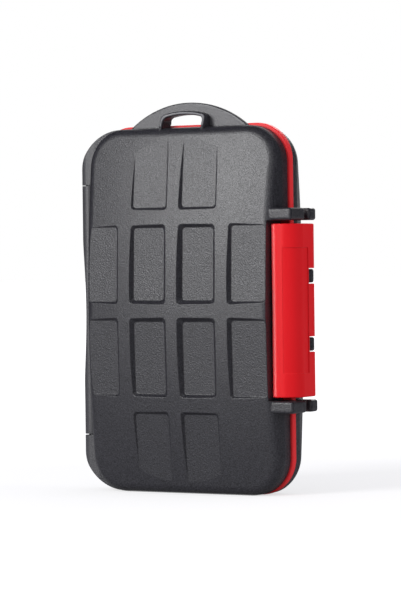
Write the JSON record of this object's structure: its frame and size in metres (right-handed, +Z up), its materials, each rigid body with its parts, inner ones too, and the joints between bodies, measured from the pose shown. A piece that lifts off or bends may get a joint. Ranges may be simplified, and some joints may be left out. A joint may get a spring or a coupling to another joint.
{
  "type": "memory card case",
  "caption": "Flat rounded case of two hinged shells with recessed panels, a seal between them, a swing latch, a lanyard loop and pocketed trays for memory cards.",
  "frame": {"origin": "on the standing plane under the lower rims, midway between the hinge's and the latch's outer sides, in the plane where the two shells part", "axes": "+X from the hinge to the latch, +Y from the lid to the base, +Z up towards the lanyard loop"},
  "size_m": [0.0782, 0.026, 0.1175],
  "materials": {
    "shell": "fine moulded grain",
    "seal": "soft satin",
    "tray": "soft matt",
    "latch": "smooth semi-gloss",
    "pin": "blackened drawn wire"
  },
  "bodies": {
    "base": {"back_shell": "shell", "seal_ring": "seal", "base_tray": "tray", "upper_hinge_pin": "pin", "lower_hinge_pin": "pin", "latch_pin": "pin"},
    "lid": {"front_shell": "shell", "lid_tray": "tray"},
    "latch": {"latch": "latch"}
  },
  "joints": [
    {"name": "lid_hinge", "type": "hinge", "parent": "base", "child": "lid", "pos_m": [-0.03665, 0, 0.055], "axis": [0, 0, -1], "range_deg": [0, 180]},
    {"name": "latch_hinge", "type": "hinge", "parent": "base", "child": "latch", "pos_m": [0.0367, 0.0026, 0.055], "axis": [0, 0, 1], "range_deg": [0, 120]}
  ]
}
